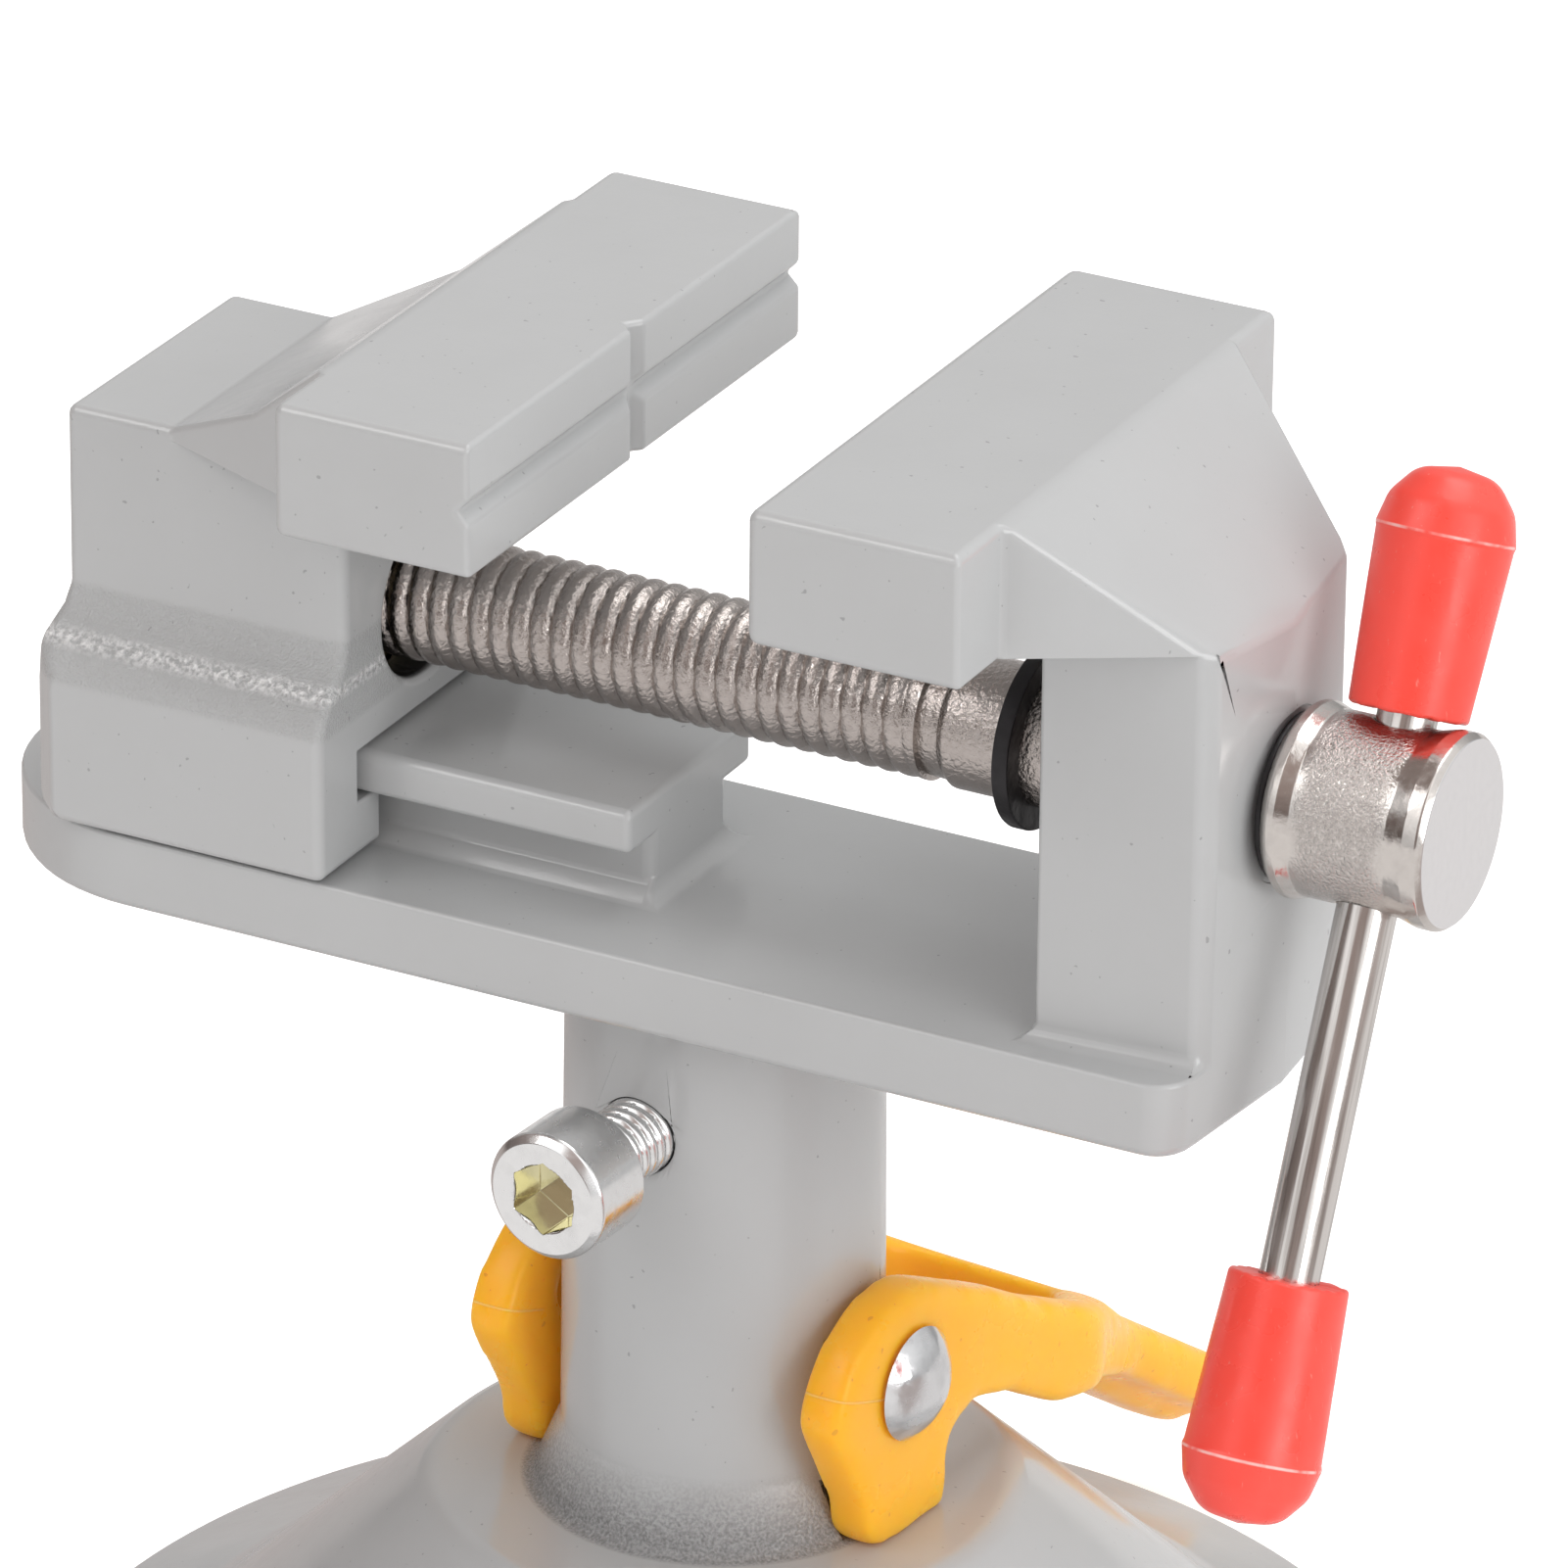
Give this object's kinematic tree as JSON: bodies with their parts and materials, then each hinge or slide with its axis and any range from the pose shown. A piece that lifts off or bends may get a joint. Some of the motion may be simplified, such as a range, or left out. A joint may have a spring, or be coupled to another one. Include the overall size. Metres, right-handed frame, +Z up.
{
  "type": "suction base vise",
  "caption": "Small bench vise with a sliding jaw on a lead screw with a cross handle, turning on a post above a bell shaped base held down by a rubber suction pad and a cam lever.",
  "frame": {"origin": "on the post's axis at the bench top, the middle of the suction pad's footprint", "axes": "+X along the lead screw to the cross handle, +Y towards the cam lever's side, +Z up"},
  "size_m": [0.1162, 0.1227, 0.122],
  "materials": {
    "grey_paint": "gloss light grey paint on a die casting, fine orange peel",
    "black_rubber": "satin black rubber",
    "zinc_steel": "zinc plated, dull",
    "spring_steel": "drawn wire",
    "nickel": "bright, slightly dented",
    "amber_plastic": "amber yellow, slightly translucent, soft gloss",
    "zinc_screw": "zinc plated, silver, yellowish in the socket",
    "brass": "turned",
    "nickel_screw": "warm nickel plate",
    "black_steel": "blackened",
    "red_plastic": "bright red, soft gloss"
  },
  "bodies": {
    "base": {"base_housing": "grey_paint", "suction_pad": "black_rubber", "pad_diaphragm": "black_rubber", "pad_spring": "spring_steel"},
    "plunger": {"cam_pin": "nickel", "pull_stem": "zinc_steel", "pad_core": "zinc_steel", "stem_washer": "zinc_steel", "stem_nut": "zinc_steel"},
    "lever": {"cam_lever": "amber_plastic"},
    "clamp": {"clamp_screw": "zinc_screw"},
    "head": {"vise_body": "grey_paint"},
    "jaw": {"sliding_jaw": "grey_paint", "jaw_nut": "brass"},
    "screw": {"lead_screw": "nickel_screw", "head_washer": "black_steel", "retaining_ring": "black_steel"},
    "handle": {"tommy_bar": "nickel_screw", "upper_cap": "red_plastic", "lower_cap": "red_plastic"}
  },
  "joints": [
    {"name": "head_swivel", "type": "hinge", "parent": "base", "child": "head", "pos_m": [0, 0, 0.0636], "axis": [0, 0, 1], "continuous": true},
    {"name": "jaw_slide", "type": "slide", "parent": "head", "child": "jaw", "axis": [1, 0, 0], "range_m": [-0.008, 0.0218]},
    {"name": "screw_turn", "type": "hinge", "parent": "head", "child": "screw", "pos_m": [0.038, 0, 0.0969], "axis": [-1, 0, 0], "range_deg": [-1696, 4619]},
    {"name": "bar_slide", "type": "slide", "parent": "screw", "child": "handle", "axis": [0, 0.4163, 0.9092], "range_m": [0, 0.0257]},
    {"name": "clamp_turn", "type": "hinge", "parent": "base", "child": "clamp", "pos_m": [-0.00157, -0.01793, 0.0636], "axis": [-0.0872, -0.9962, 0], "range_deg": [0, 1080]},
    {"name": "plunger_slide", "type": "slide", "parent": "base", "child": "plunger", "axis": [0, 0, -1], "range_m": [0, 0.0032], "deforming": ["pad_spring", "pad_diaphragm"]},
    {"name": "lever_raise", "type": "hinge", "parent": "plunger", "child": "lever", "pos_m": [0, 0, 0.043], "axis": [0.9962, -0.0872, 0], "range_deg": [0, 65.01]}
  ],
  "couplings": [
    {"joint": "screw_turn", "follows": "jaw_slide", "rad_per_m": 3696},
    {"joint": "lever_raise", "follows": "plunger_slide", "rad_per_m": 354.52}
  ]
}
